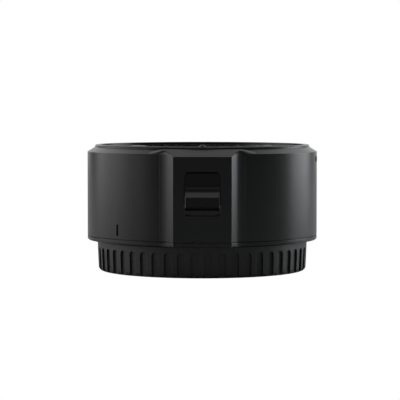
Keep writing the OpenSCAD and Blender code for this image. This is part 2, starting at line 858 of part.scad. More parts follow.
module circuit_board() color([0.08, 0.3, 0.16])
    difference() {
        ring_part(board_in_r, board_out_r, board_z, board_top, back_az, 2 * board_half);
        for (az = board_screw_az)
            at(az, board_screw_at, board_top)
                screw_hole(small_screw[0], small_screw[1], small_screw[2], small_screw[3]);
    }

module board_chips() color([0.12, 0.12, 0.13]) {
    chip = [3.4, 4.4, 0.9];
    plug = [1.8, 5.2, 1.1];
    for (side = [-1, 1])
        at(back_az + side * 17, board_screw_at, board_top)
            translate([-chip[0] / 2, -chip[1] / 2, 0])
                cube(chip);
    at(back_az, board_screw_at + 0.8, board_top)
        translate([-plug[0] / 2, -plug[1] / 2, 0])
            cube(plug);
}

module board_screws() color([0.5, 0.5, 0.52])
    for (az = board_screw_az)
        at(az, board_screw_at, board_top + small_screw[1])
            screw(small_screw[0], small_screw[1], small_screw[2], small_screw[3] + small_screw[1] - 0.3);

// Flat cable: up from the connector to the lens block, and down to the camera block
module flex_cable() color([0.55, 0.35, 0.12]) {
    t = 0.2;
    width = 4.4;
    rise_y = board_in_r + 0.3;
    end_y = board_screw_at - 0.1;
    fall_y = rise_y - 0.5;
    foot_y = camera_ear_r - 1.4;
    rotate([90, 0, 90])
        translate([0, 0, -width / 2])
            linear_extrude(height = width) {
                polygon([[rise_y, board_top], [end_y, board_top], [end_y, board_top + t],
                    [rise_y + t, board_top + t], [rise_y + t, neck_low], [rise_y, neck_low]]);
                polygon([[foot_y, camera_ear_top], [fall_y, camera_ear_top], [fall_y, board_top],
                    [rise_y - 0.1, board_top], [rise_y - 0.1, board_top + t],
                    [fall_y - t, board_top + t], [fall_y - t, camera_ear_top + t],
                    [foot_y, camera_ear_top + t]]);
            }
}

// Cap: cup with a rounded foot, flutes with arched tops, and an inner ring with bayonet lugs
module rear_cap() color([0.09, 0.09, 0.095]) {
    inner_r = tab_r + 0.5;
    lug_low = tab_low + tab_t + 0.35;
    cup_r = cap_r - cap_wall;
    difference() {
        rotate_extrude($fn = 180)
            cap_profile(cup_r);
        for (i = [0 : flutes - 1])
            rotate([0, 0, (i + flute_turn) * 360 / flutes])
                flute();
    }
    ring(inner_r, inner_r + 1.4, cap_floor - eps, camera_seat_z - 0.4);
    for (az = [0, 120, 240])
        ring_part(male_r + 0.4, inner_r + eps, lug_low, lug_low + 1.6, az, tab_angle - 4);
}

// One flute, cut from outside down to a flat floor that leans with the cap's draft
module flute() {
    arch_z = cap_h - flute_band - flute_w / 2;
    lean = atan(cap_draft / cap_h);
    translate([cap_r - flute_depth, 0, cap_h])
        rotate([0, lean, 0])
            translate([0, 0, -cap_h])
                rotate([90, 0, 90])
                    linear_extrude(height = 3) {
                        translate([0, arch_z])
                            circle(r = flute_w / 2, $fn = 24);
                        translate([-flute_w / 2, -1])
                            square([flute_w, arch_z + 1]);
                    }
}

module cap_profile(cup_r) {
    polygon([[0, 0], [cap_foot_r - cap_round, 0], [cap_foot_r, cap_round],
        [cap_r, cap_h - 0.25], [cap_r - 0.25, cap_h], [cup_r, cap_h],
        [cup_r, cap_floor], [0, cap_floor]]);
    intersection() {
        translate([cap_foot_r - cap_round, cap_round])
            circle(r = cap_round, $fn = 64);
        translate([cap_foot_r - cap_round, 0])
            square([cap_round, cap_round]);
    }
}

outer_shell();
base_ring();
release_slide();
rear_cap();
lens_mount();
lens_mount_spring();
lens_mount_screws();
inner_tube();
camera_mount();
camera_mount_screws();
base_ring_screws();
lock_pin();
slide_carriage();
slide_screws();
release_spring();
slide_retainer();
retainer_screws();
lens_contact_block();
lens_contact_pins();
lens_contact_screws();
camera_contact_block();
camera_contact_pads();
camera_contact_screws();
circuit_board();
board_chips();
board_screws();
flex_cable();
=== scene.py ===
# %% [markdown]
# This script dresses a lens adapter tube, the black barrel that puts an SLR lens on a mirrorless camera.
# The solids come from the CAD pack and stay where they are. Here they get a camera, a studio and the
# finishes of the real parts: textured paint, moulded plastic, turned and plated metal. Blender counts in
# metres and the parts are drawn in millimetres, so MM is the length of one millimetre.

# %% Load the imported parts
import json
import math

import bmesh
import bpy
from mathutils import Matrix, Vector


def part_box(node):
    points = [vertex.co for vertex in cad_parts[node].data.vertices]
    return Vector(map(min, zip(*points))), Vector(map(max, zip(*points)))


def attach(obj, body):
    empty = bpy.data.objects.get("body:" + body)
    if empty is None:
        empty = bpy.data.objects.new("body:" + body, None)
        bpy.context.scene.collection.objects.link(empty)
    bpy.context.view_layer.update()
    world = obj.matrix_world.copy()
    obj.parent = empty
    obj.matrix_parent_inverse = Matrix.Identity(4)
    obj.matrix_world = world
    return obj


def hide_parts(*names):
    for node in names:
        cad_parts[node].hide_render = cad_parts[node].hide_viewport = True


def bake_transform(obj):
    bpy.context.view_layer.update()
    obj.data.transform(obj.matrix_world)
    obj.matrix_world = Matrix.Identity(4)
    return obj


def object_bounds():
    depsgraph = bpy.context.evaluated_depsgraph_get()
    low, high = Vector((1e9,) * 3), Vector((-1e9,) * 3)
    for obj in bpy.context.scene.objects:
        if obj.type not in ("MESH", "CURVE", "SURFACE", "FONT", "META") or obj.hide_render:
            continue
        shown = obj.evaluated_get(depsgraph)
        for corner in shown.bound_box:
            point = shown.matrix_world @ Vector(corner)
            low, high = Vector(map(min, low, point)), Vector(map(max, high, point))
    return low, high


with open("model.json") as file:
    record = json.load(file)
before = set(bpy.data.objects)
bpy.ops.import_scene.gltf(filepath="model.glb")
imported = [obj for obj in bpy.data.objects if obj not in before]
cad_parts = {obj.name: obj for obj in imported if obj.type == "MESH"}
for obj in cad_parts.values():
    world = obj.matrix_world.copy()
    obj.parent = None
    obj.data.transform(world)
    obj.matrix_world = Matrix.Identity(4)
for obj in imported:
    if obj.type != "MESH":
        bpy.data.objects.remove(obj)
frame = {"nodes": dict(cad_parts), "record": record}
MM = 0.001
cad_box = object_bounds()
cad_size = cad_box[1] - cad_box[0]
print("parts", len(frame["nodes"]), "box in mm", [round(v / MM, 1) for v in cad_size])

# %% [markdown]
# The picture was taken with a long lens from just above the barrel's top edge, so its near and far rims
# almost close into one line. A real camera is described by its lens and its place. The height and the
# tilt were fitted to the top rim, the seam and the foot of the cap, which curve by different amounts.

# %% Camera
focal_length, camera_tilt, camera_place = 170.2, 86.91, (-0.00067, -0.578, 0.0524)
lens_data = bpy.data.cameras.new("studio_camera")
lens_data.sensor_width = 36
lens_data.lens = focal_length
lens_data.clip_start, lens_data.clip_end = 0.05, 20
camera = bpy.data.objects.new("studio_camera", lens_data)
camera.location = camera_place
camera.rotation_euler = (math.radians(camera_tilt), 0, 0)
bpy.context.scene.collection.objects.link(camera)
bpy.context.scene.camera = camera
bpy.context.scene.view_settings.view_transform = "Standard"
print("camera looks down by", round(90 - camera_tilt, 2), "degrees")

# %% [markdown]
# Shader trees are long to write by hand, so a few small helpers do the repeated work. One adds a node,
# one links a socket or gives it a plain value, and one does a sum. A finish then reads like a recipe.
# All patterns use the coordinates of the piece itself, so they stay on it when it moves.


# %% Helpers for shader trees
def put(tree, kind, **settings):
    """Add a node. Its settings are the node's own properties."""
    node = tree.nodes.new("ShaderNode" + kind)
    for key, value in settings.items():
        setattr(node, key, value)
    return node


def feed(tree, socket, value):
    """Link an output to a socket, or set the socket to a constant."""
    if isinstance(value, bpy.types.NodeSocket):
        tree.links.new(value, socket)
    else:
        socket.default_value = value


def calc(tree, operation, *values):
    """One step of arithmetic."""
    node = put(tree, "Math", operation=operation)
    for socket, value in zip(node.inputs, values):
        feed(tree, socket, value)
    return node.outputs[0]


def remap(tree, value, low, high, out_low=0.0, out_high=1.0):
    """A value between two limits, taken to two others and held there."""
    node = put(tree, "MapRange")
    limits = {"From Min": low, "From Max": high, "To Min": out_low, "To Max": out_high}
    for name, number in {"Value": value, **limits}.items():
        feed(tree, node.inputs[name], number)
    return node.outputs[0]


def blend(tree, factor, a, b):
    """A mix of two colours."""
    node = put(tree, "MixRGB")
    for socket, value in zip(node.inputs, (factor, a, b)):
        feed(tree, socket, value)
    return node.outputs[0]


def on_piece(tree):
    """Coordinates that stay on the piece, in metres."""
    return put(tree, "TexCoord").outputs["Object"]


def axes(tree, vector):
    """The X, Y and Z of a vector."""
    node = put(tree, "SeparateXYZ")
    feed(tree, node.inputs[0], vector)
    return node.outputs


def pattern(tree, kind, size):
    """A noise or a cell pattern on the piece. Its size is in millimetres."""
    node = put(tree, "Tex" + kind)
    feed(tree, node.inputs["Vector"], on_piece(tree))
    feed(tree, node.inputs["Scale"], calc(tree, "DIVIDE", 1 / MM, size))
    return node


def cell_number(tree, cells):
    """The random number that each cell of a pattern has."""
    node = put(tree, "SeparateColor")
    feed(tree, node.inputs[0], cells.outputs["Color"])
    return node.outputs[0]


def new_group(name, inputs, outputs):
    """An empty node group with named sockets. Returns it with its end nodes' sockets."""
    group = bpy.data.node_groups.new(name, "ShaderNodeTree")
    for label, value in inputs.items():
        socket = group.interface.new_socket(label, in_out="INPUT", socket_type="NodeSocketFloat")
        socket.default_value = value
    for label, kind in outputs.items():
        group.interface.new_socket(label, in_out="OUTPUT", socket_type="NodeSocket" + kind)
    return group, group.nodes.new("NodeGroupInput").outputs, group.nodes.new("NodeGroupOutput").inputs


def for_camera(tree, plain, bright):
    """The bright shader where the camera looks straight at it, and the plain one for all other rays."""
    node = put(tree, "MixShader")
    straight = put(tree, "LightPath").outputs["Is Camera Ray"]
    for socket, value in zip(node.inputs, (straight, plain.outputs[0], bright.outputs[0])):
        feed(tree, socket, value)
    return node.outputs[0]


def use(tree, group, **values):
    """Put a group into a tree and set its inputs. Those that aren't named keep the group's own values."""
    node = put(tree, "Group", node_tree=group)
    for key, value in values.items():
        feed(tree, node.inputs[key], value)
    return node.outputs


print("helpers ready")

# %% [markdown]
# A black object is lit by what it mirrors. The picture has white behind and a dark room on the camera's
# side, so the panel in front stays nearly black and the flanks brighten. The world is white only where
# the camera looks straight at it. For every other ray it is a dim room.

# %% White surroundings
room_brightness, room_tint = 0.07, (0.95, 0.98, 1, 1)
world = bpy.data.worlds.new("white_studio")
bpy.context.scene.world = world
world.use_nodes = True
world_tree = world.node_tree
world_tree.nodes.clear()
paper = put(world_tree, "Background")
paper.inputs["Color"].default_value = (1, 1, 1, 1)
room = put(world_tree, "Background")
room.inputs["Strength"].default_value = room_brightness
room.inputs["Color"].default_value = room_tint
feed(world_tree, put(world_tree, "OutputWorld").inputs["Surface"], for_camera(world_tree, room, paper))
print("world", world.name)

# %% [markdown]
# The table is blown out to pure white in the picture, with no shadow left on it. So the floor glows
# white for the camera, and for the light that bounces it is a plain pale table, which brightens the
# cap's ribs and the barrel's lower edge from below.

# %% Pale floor
floor_half, floor_gap, table_grey = 1.5, 0.02 * MM, (0.66, 0.66, 0.66, 1)
floor_mesh = bpy.data.meshes.new("studio_floor")
corners = [(x * floor_half, y * floor_half, 0) for x, y in ((-1, -1), (1, -1), (1, 1), (-1, 1))]
floor_mesh.from_pydata(corners, [], [(0, 1, 2, 3)])
floor = bpy.data.objects.new("studio_floor", floor_mesh)
floor.location = (0, 0, -floor_gap)
bpy.context.scene.collection.objects.link(floor)
white = bpy.data.materials.new("table_white")
white.use_nodes = True
floor_tree = white.node_tree
floor_tree.nodes.clear()
glow = put(floor_tree, "Emission")
matt = put(floor_tree, "BsdfDiffuse")
matt.inputs["Color"].default_value = table_grey
feed(floor_tree, put(floor_tree, "OutputMaterial").inputs["Surface"], for_camera(floor_tree, matt, glow))
floor.data.materials.append(white)
print("floor", floor.name)

# %% [markdown]
# Soft boxes are area lights. Each is set by the direction it stands in, seen from the barrel, by its
# size and by its brightness per area, because that brightness is what the gloss on the paint shows.
# A bright band on the barrel at some angle comes from a box at about twice that angle.


# %% Soft boxes
barrel_middle = Vector((0, 0, 20 * MM))


def softbox(name, azimuth, elevation, distance, width, height, radiance, tint=(1, 1, 1)):
    """An area light round the barrel. Azimuth 0 is the camera's side and 90 is to the right, in degrees.
    The other sizes are in metres, and the radiance is its brightness per area."""
    turn, lift = math.radians(azimuth), math.radians(elevation)
    away = Vector((math.sin(turn) * math.cos(lift), -math.cos(turn) * math.cos(lift), math.sin(lift)))
    data = bpy.data.lights.new(name, "AREA")
    data.shape = "RECTANGLE"
    data.size, data.size_y = width, height
    data.energy = radiance * math.pi * width * height
    data.color = tint
    lamp = bpy.data.objects.new(name, data)
    lamp.location = barrel_middle + away * distance
    lamp.rotation_mode = "QUATERNION"
    lamp.rotation_quaternion = away.to_track_quat("Z", "Y")
    bpy.context.scene.collection.objects.link(lamp)
    lamp.visible_camera = False
    print(name, "watts", round(data.energy, 2))


# Name, azimuth, elevation, distance, width, height, radiance and tint
softbox("box_left", -104, 12, 0.7, 0.6, 0.6, 1.9)
softbox("box_left_front", -69, 12, 0.8, 0.4, 0.5, 1.0)
softbox("box_right", 113, 12, 0.7, 0.42, 0.6, 3.9, (0.94, 0.98, 1))
softbox("box_back", 180, 22, 0.9, 1.2, 0.9, 0.9)
softbox("box_top", 180, 66, 0.8, 0.9, 0.5, 0.5)
softbox("box_front_top", 0, 70, 0.8, 0.4, 0.22, 1.7)
softbox("box_front", 0, 26, 0.9, 0.4, 0.15, 0.85)

# %% [markdown]
# Several effects return on many finishes, so each one is a shader node group with its own inputs.
# Sizes go in as millimetres. The first group is the grain of a sprayed or moulded surface.

# %% Group: fine grain
fine_grain, given, gives = new_group("fine_grain", {"Size": 0.3, "Depth": 0.02}, {"Height": "Float"})
noise = pattern(fine_grain, "Noise", given["Size"])
noise.inputs["Detail"].default_value = 2.0
feed(fine_grain, gives["Height"], calc(fine_grain, "MULTIPLY", noise.outputs["Fac"], given["Depth"]))
print("group", fine_grain.name)

# %% [markdown]
# No surface is even. Handling and cleaning leave broad patches where the gloss differs a little. This
# group gives a factor round 1 that a finish multiplies its roughness by.

# %% Group: patches
patches, given, gives = new_group("patches", {"Size": 8.0, "Contrast": 0.1}, {"Factor": "Float"})
noise = pattern(patches, "Noise", given["Size"])
noise.inputs["Detail"].default_value = 3.0
noise_middle, noise_gain = 0.5, 4.0
swing = calc(patches, "SUBTRACT", noise.outputs["Fac"], noise_middle)
for strength in (given["Contrast"], noise_gain):
    swing = calc(patches, "MULTIPLY", swing, strength)
feed(patches, gives["Factor"], calc(patches, "ADD", swing, 1.0))
print("group", patches.name)

# %% [markdown]
# Real edges are never sharp. A bevelled normal rounds them for the light without changing the mesh. How
# far it leans away from the face's own normal also tells where the edges are, so worn spots can
# follow them. Noise breaks the wear up, because an even line looks drawn.

# %% Group: soft edges and their wear
soft_edges, given, gives = new_group(
    "soft_edges", {"Radius": 0.1, "Wear": 0.2, "Patch size": 3.0}, {"Normal": "Vector", "Worn": "Float"}
)
# Wear begins where the cosine between the normals is below the first value and is full at the second
wear_begins, wear_full, noise_low, noise_high = 0.985, 0.85, 0.45, 0.65
bevel = put(soft_edges, "Bevel", samples=6)
feed(soft_edges, bevel.inputs["Radius"], calc(soft_edges, "MULTIPLY", given["Radius"], MM))
lean = put(soft_edges, "VectorMath", operation="DOT_PRODUCT")
feed(soft_edges, lean.inputs[0], bevel.outputs[0])
feed(soft_edges, lean.inputs[1], put(soft_edges, "NewGeometry").outputs["Normal"])
edge = remap(soft_edges, lean.outputs["Value"], wear_begins, wear_full)
noise = pattern(soft_edges, "Noise", given["Patch size"])
noise.inputs["Detail"].default_value = 4.0
broken = remap(soft_edges, noise.outputs["Fac"], noise_low, noise_high)
spots = calc(soft_edges, "MULTIPLY", edge, broken)
feed(soft_edges, gives["Worn"], calc(soft_edges, "MULTIPLY", spots, given["Wear"]))
feed(soft_edges, gives["Normal"], bevel.outputs[0])
print("group", soft_edges.name)

# %% [markdown]
# A lathe leaves fine rings round its axis. The distance from the optical axis drives a noise in one
# dimension, so each ring has its own depth but is the same all the way round. The height is added to the
# distance, so that rings run round upright walls too.

# %% Group: turned rings
turned_rings, given, gives = new_group("turned_rings", {"Pitch": 0.1, "Depth": 0.01}, {"Height": "Float"})
place = axes(turned_rings, on_piece(turned_rings))
squares = [calc(turned_rings, "MULTIPLY", place[axis], place[axis]) for axis in ("X", "Y")]
from_axis = calc(turned_rings, "SQRT", calc(turned_rings, "ADD", *squares))
way_along = calc(turned_rings, "ADD", from_axis, place["Z"])
noise = put(turned_rings, "TexNoise", noise_dimensions="1D")
noise.inputs["Detail"].default_value = 1.0
feed(turned_rings, noise.inputs["W"], calc(turned_rings, "DIVIDE", way_along, MM))
feed(turned_rings, noise.inputs["Scale"], calc(turned_rings, "DIVIDE", 1.0, given["Pitch"]))
feed(turned_rings, gives["Height"], calc(turned_rings, "MULTIPLY", noise.outputs["Fac"], given["Depth"]))
print("group", turned_rings.name)

# %% [markdown]
# Dust lies on what faces up. Each cell of a Voronoi pattern may hold one speck, and its random colour
# decides whether it does and how big the speck is.

# %% Group: dust
dust, given, gives = new_group("dust", {"Spacing": 0.6, "Amount": 0.3}, {"Mask": "Float"})
# Upright faces keep a twentieth of the dust, and level ones all of it
upright, level, clinging = 0.05, 0.6, 0.05
speck_share, speck_rim = 0.5, 0.06
cells = pattern(dust, "Voronoi", given["Spacing"])
spare = calc(dust, "SUBTRACT", given["Amount"], cell_number(dust, cells))
speck_size = calc(dust, "MULTIPLY", spare, speck_share)
speck = remap(dust, calc(dust, "SUBTRACT", speck_size, cells.outputs["Distance"]), 0.0, speck_rim)
facing = axes(dust, put(dust, "NewGeometry").outputs["Normal"])
upward = remap(dust, facing["Z"], upright, level, clinging, 1.0)
feed(dust, gives["Mask"], calc(dust, "MULTIPLY", speck, upward))
print("group", dust.name)

# %% [markdown]
# Fine scratches are cells that are stretched many times over, of which only the thin middles show. Two
# layers that lie at an angle look like the marks of lenses that were put on and taken off.

# %% Group: scratches
scratches, given, gives = new_group(
    "scratches", {"Length": 4.0, "Width": 0.08, "Amount": 0.3}, {"Mask": "Float"}
)
# A scratch shows in the middle tenth of its cell, and the layers are turned by two angles round one axis
shown_share, layer_turns, layer_axis = 0.1, (0.5, 2.1), (0.2, 0.3, 1.0)
line_rim, line_core = 0.3, 0.1
masks = []
for turn in layer_turns:
    spin = put(scratches, "VectorRotate", rotation_type="AXIS_ANGLE")
    spin.inputs["Axis"].default_value = layer_axis
    spin.inputs["Angle"].default_value = turn
    feed(scratches, spin.inputs["Vector"], on_piece(scratches))
    pull = put(scratches, "CombineXYZ")
    feed(scratches, pull.inputs["X"], calc(scratches, "DIVIDE", 1 / MM, given["Length"]))
    for axis in ("Y", "Z"):
        feed(scratches, pull.inputs[axis], calc(scratches, "DIVIDE", shown_share / MM, given["Width"]))
    stretched = put(scratches, "VectorMath", operation="MULTIPLY")
    feed(scratches, stretched.inputs[0], spin.outputs[0])
    feed(scratches, stretched.inputs[1], pull.outputs[0])
    cells = put(scratches, "TexVoronoi")
    cells.inputs["Scale"].default_value = 1.0
    feed(scratches, cells.inputs["Vector"], stretched.outputs[0])
    chosen = calc(scratches, "LESS_THAN", cell_number(scratches, cells), given["Amount"])
    line = remap(scratches, cells.outputs["Distance"], line_rim, line_core)
    masks.append(calc(scratches, "MULTIPLY", line, chosen))
feed(scratches, gives["Mask"], calc(scratches, "MAXIMUM", *masks))
print("group", scratches.name)

# %% [markdown]
# Every finish starts from the same short recipe: a body colour that wears to another colour at the edges,
# a roughness that drifts in patches, and a bump on top of the rounded edges, whose radius is in
# millimetres. Each finish then adds what is its own. The shader itself stays in the material.


# %% Start of a finish
finishes = {}


def finish(name, colour, rough, worn, wear, edge=0.1, drift=0.08, metallic=0.0, specular=0.5):
    """A new material. Returns its tree, its shader and a bump that has room for a height."""
    material = bpy.data.materials.new(name)
    finishes[name] = material
    material.use_nodes = True
    tree = material.node_tree
    shader = tree.nodes["Principled BSDF"]
    shader.inputs["Metallic"].default_value = metallic
    shader.inputs["Specular IOR Level"].default_value = specular
    edges = use(tree, soft_edges, Radius=edge, Wear=wear)
    feed(tree, shader.inputs["Base Color"], blend(tree, edges["Worn"], (*colour, 1), (*worn, 1)))
    drifting = use(tree, patches, Contrast=drift)["Factor"]
    feed(tree, shader.inputs["Roughness"], calc(tree, "MULTIPLY", drifting, rough))
    bump = put(tree, "Bump")
    bump.inputs["Strength"].default_value = 1.0
    bump.inputs["Distance"].default_value = MM
    feed(tree, bump.inputs["Normal"], edges["Normal"])
    feed(tree, shader.inputs["Normal"], bump.outputs[0])
    return tree, shader, bump


def grain(tree, bump, size, depth):
    """Give a finish its fine grain, in millimetres."""
    feed(tree, bump.inputs["Height"], use(tree, fine_grain, Size=size, Depth=depth)["Height"])


def over(tree, shader, mask, colour, rough=None):
    """Lay a colour, and a roughness, over a finish where a mask is."""
    base = shader.inputs["Base Color"]
    feed(tree, base, blend(tree, mask, base.links[0].from_socket, (*colour, 1)))
    if rough is not None:
        old = shader.inputs["Roughness"]
        mix = put(tree, "Mix")
        for key, value in (("Factor", mask), ("A", old.links[0].from_socket), ("B", rough)):
            feed(tree, mix.inputs[key], value)
        feed(tree, old, mix.outputs["Result"])


print("finish recipe ready")

# %% [markdown]
# The barrel is painted metal. Its paint is satin with a very fine orange-peel grain, which only shows
# where a soft box begins. The edges of the panel and the rims turn a dark grey, partly wear and partly a
# painted highlight along the edges, and a little dust lies on the shoulder.

# %% Finish: barrel paint
# The dark grey on the edges is partly wear and partly painted highlight
tree, shader, bump = finish(
    "barrel_paint", (0.008, 0.0083, 0.0088), rough=0.29, specular=0.42,
    worn=(0.05, 0.05, 0.052), wear=0.8, edge=0.18, drift=0.06,
)
grain(tree, bump, size=0.32, depth=0.006)
specks = use(tree, dust, Spacing=0.9, Amount=0.12)["Mask"]
over(tree, shader, specks, (0.12, 0.12, 0.115), rough=0.8)
print("finish barrel_paint")

# %% [markdown]
# The slide is smooth satin plastic, darker than the paint round it. The flanks of its crest are painted
# pale, a painted highlight for the bright lines that light draws on them. A mask finds them by their place,
# beside the crest and proud of the panel. The cap is moulded plastic with a duller skin. Its ribs are
# rubbed pale by fingers that twist it off, and lint stays in the flutes.

# %% Finish: slide and cap plastic
tree, shader, bump = finish(
    "slide_plastic", (0.005, 0.005, 0.0052), rough=0.3, specular=0.32,
    worn=(0.04, 0.04, 0.04), wear=0.7, edge=0.04, drift=0.05,
)
grain(tree, bump, size=0.12, depth=0.001)
# Painted highlight: the crest's flanks get a pale colour where light makes bright lines on them
flank_from, flank_full, front_from, front_full = 4.7 * MM, 4.78 * MM, -36.6 * MM, -36.75 * MM
place = axes(tree, on_piece(tree))
highlight_side = remap(tree, calc(tree, "ABSOLUTE", place["X"]), flank_from, flank_full)
highlight_front = remap(tree, place["Y"], front_from, front_full)
over(tree, shader, calc(tree, "MULTIPLY", highlight_side, highlight_front), (0.11, 0.11, 0.112), rough=0.5)
tree, shader, bump = finish(
    "cap_plastic", (0.018, 0.0185, 0.019), rough=0.42,
    worn=(0.06, 0.06, 0.06), wear=0.5, edge=0.2,
)
grain(tree, bump, size=0.18, depth=0.003)
specks = use(tree, dust, Spacing=1.1, Amount=0.1)["Mask"]
over(tree, shader, specks, (0.14, 0.14, 0.13), rough=0.85)
print("finishes slide_plastic, cap_plastic")

# %% [markdown]
# Both bayonets are turned and plated, so fine rings run round them. Lenses leave short scratches, and
# the plating wears darker and warmer on the edges where the tabs rub.

# %% Finish: mount metal
tree, shader, bump = finish(
    "mount_metal", (0.31, 0.305, 0.28), rough=0.08, metallic=1.0,
    worn=(0.30, 0.25, 0.17), wear=0.6, edge=0.08, drift=0.12,
)
feed(tree, bump.inputs["Height"], use(tree, turned_rings, Pitch=0.12, Depth=0.0004)["Height"])
marks = use(tree, scratches, Length=5.0, Width=1.0, Amount=0.05)["Mask"]
over(tree, shader, marks, (0.62, 0.62, 0.6), rough=0.35)
print("finish mount_metal")

# %% [markdown]
# The small metal pieces differ by how they were made. Rolled spring steel has a soft sheen with fine
# scratches, screws are turned and a little oily, and the lock pin is blackened and worn bright at its tip.

# %% Finish: small metal pieces
tree, shader, bump = finish(
    "spring_steel", (0.46, 0.45, 0.43), rough=0.32, metallic=1.0,
    worn=(0.7, 0.7, 0.68), wear=0.5, edge=0.05, drift=0.15,
)
grain(tree, bump, size=0.25, depth=0.003)
marks = use(tree, scratches, Length=6.0, Width=1.2, Amount=0.12)["Mask"]
over(tree, shader, marks, (0.6, 0.6, 0.6), rough=0.45)
tree, shader, bump = finish(
    "screw_steel", (0.33, 0.33, 0.34), rough=0.28, metallic=1.0,
    worn=(0.6, 0.6, 0.6), wear=0.7, edge=0.05, drift=0.15,
)
grain(tree, bump, size=0.1, depth=0.004)
tree, shader, bump = finish(
    "dark_steel", (0.045, 0.045, 0.048), rough=0.33, metallic=1.0,
    worn=(0.35, 0.35, 0.35), wear=0.9, drift=0.1,
)
grain(tree, bump, size=0.12, depth=0.004)
print("finishes spring_steel, screw_steel, dark_steel")

# %% [markdown]
# The light baffle must not shine, so it is the dullest black of all. The contact blocks are moulded and
# slightly glossier, and the gilt contacts carry the fine marks of many lenses.

# %% Finish: baffle, contact blocks and contacts
tree, shader, bump = finish(
    "baffle_black", (0.009, 0.009, 0.0075), rough=0.7, specular=0.3,
    worn=(0.03, 0.03, 0.028), wear=0.4, edge=0.08,
)
grain(tree, bump, size=0.2, depth=0.02)
specks = use(tree, dust, Spacing=1.0, Amount=0.15)["Mask"]
over(tree, shader, specks, (0.1, 0.1, 0.09), rough=0.9)
tree, shader, bump = finish(
    "block_plastic", (0.013, 0.013, 0.013), rough=0.45,
    worn=(0.05, 0.05, 0.05), wear=0.4, edge=0.12, drift=0.1,
)
grain(tree, bump, size=0.15, depth=0.008)
tree, shader, bump = finish(
    "contact_gold", (0.78, 0.55, 0.22), rough=0.22, metallic=1.0,
    worn=(0.85, 0.7, 0.4), wear=0.4, edge=0.05, drift=0.15,
)
grain(tree, bump, size=0.1, depth=0.002)
marks = use(tree, scratches, Length=1.5, Width=0.8, Amount=0.15)["Mask"]
over(tree, shader, marks, (0.5, 0.35, 0.15), rough=0.4)
print("finishes baffle_black, block_plastic, contact_gold")

# %% [markdown]
# Inside the barrel lies a small circuit board. Under its green mask run copper tracks, which show as
# slightly raised and paler lines. The chips are matt epoxy and the flat cable is amber film.

# %% Finish: board, chips and cable
tree, shader, bump = finish(
    "board_green", (0.008, 0.075, 0.03), rough=0.3,
    worn=(0.25, 0.2, 0.1), wear=0.5, edge=0.06,
)
bricks_per_metre, track_width, track_height = 220.0, 0.06, 0.03
tracks = put(tree, "TexBrick")
tracks.inputs["Scale"].default_value = bricks_per_metre
tracks.inputs["Mortar Size"].default_value = track_width
feed(tree, tracks.inputs["Vector"], on_piece(tree))
over(tree, shader, tracks.outputs["Fac"], (0.02, 0.14, 0.05))
feed(tree, bump.inputs["Height"], calc(tree, "MULTIPLY", tracks.outputs["Fac"], track_height))
tree, shader, bump = finish(
    "chip_black", (0.016, 0.016, 0.017), rough=0.55,
    worn=(0.06, 0.06, 0.06), wear=0.3, edge=0.08, drift=0.1,
)
grain(tree, bump, size=0.1, depth=0.01)
tree, shader, bump = finish(
    "flex_amber", (0.33, 0.13, 0.02), rough=0.26,
    worn=(0.5, 0.3, 0.1), wear=0.3, edge=0.05, drift=0.12,
)
grain(tree, bump, size=1.2, depth=0.03)
print("finishes board_green, chip_black, flex_amber")

# %% [markdown]
# A few soft forms are finer than the solids, so they are laid over them as thin skins. Each is a row of
# loops, like the ribs of a boat, with faces between them. The sides are smooth where they bend gently
# and sharp at real edges.


# %% Helper for skins
sharp_from = math.radians(25)


def skin(name, loops, body, slot):
    """A closed piece through loops of as many points each, in millimetres. The body may be None."""
    count = len(loops[0])
    last = count * (len(loops) - 1)
    faces = []
    for first in range(0, last, count):
        for i in range(count):
            after = (i + 1) % count
            faces.append((first + i, first + after, first + count + after, first + count + i))
    faces += [tuple(range(count)), tuple(range(last, last + count))]
    mesh = bpy.data.meshes.new(name)
    mesh.from_pydata([Vector(v) * MM for loop in loops for v in loop], [], faces)
    work = bmesh.new()
    work.from_mesh(mesh)
    bmesh.ops.recalc_face_normals(work, faces=work.faces)
    work.to_mesh(mesh)
    work.free()
    mesh.shade_smooth()
    mesh.set_sharp_from_angle(angle=sharp_from)
    mesh.materials.append(finishes[slot])
    piece = bpy.data.objects.new(name, mesh)
    bpy.context.scene.collection.objects.link(piece)
    if body:
        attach(piece, body)
    print(name, "faces", len(faces))
    return piece


# %% [markdown]
# Above its crest the slide falls back to its plate in a hollow curve, which catches the light from high
# in front and turns black where it meets the plate. The straight bevel leans by one angle, and an arc
# takes that angle back to upright.

# %% Hollow ramp of the slide
slide_low, slide_high = (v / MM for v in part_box("release_slide"))
crest_y, foot_z = slide_low.y, slide_low.z
crest_h, crest_gap, plate_back, ramp_lap, ramp_root = 5.0, 0.01, 1.3, 0.02, 0.3
ridge_z, plate_y = foot_z + crest_h, slide_high.y - plate_back
half_w, flank_depth, flank_slope = 5.03, 0.5, 0.9
bevel_lean, bevel_h, ramp_steps = math.radians(38), 1.2, 12
bevel_y = crest_y + bevel_h * math.tan(bevel_lean)
ramp_r = (plate_y - bevel_y) / (1 - math.cos(bevel_lean))
ramp_top = ridge_z + bevel_h + ramp_r * math.sin(bevel_lean)
outline = [(crest_y + crest_gap, ridge_z - ramp_lap)]
for i in range(ramp_steps + 1):
    lean = bevel_lean * (1 - i / ramp_steps)
    outline.append((plate_y - ramp_r * (1 - math.cos(lean)), ramp_top - ramp_r * math.sin(lean)))
outline += [(plate_y + ramp_root, ramp_top), (plate_y + ramp_root, ridge_z - ramp_lap)]
loops = []
for way in (-1, 1):
    flanks = [half_w - flank_slope * max(0, crest_y + flank_depth - y) for y, z in outline]
    loops.append([(way * x, y, z) for x, (y, z) in zip(flanks, outline)])
skin("slide_ramp", loops, "release", "slide_plastic")
print("ramp from", round(ridge_z, 2), "to", round(ramp_top, 2), "plate at", round(plate_y, 2))

# %% [markdown]
# Both flanks of the crest show as thin bright lines. They are steep and narrow, and end in a point where
# the ramp begins. Each point of a plan is given by its distance from the middle and its depth behind
# the crest.

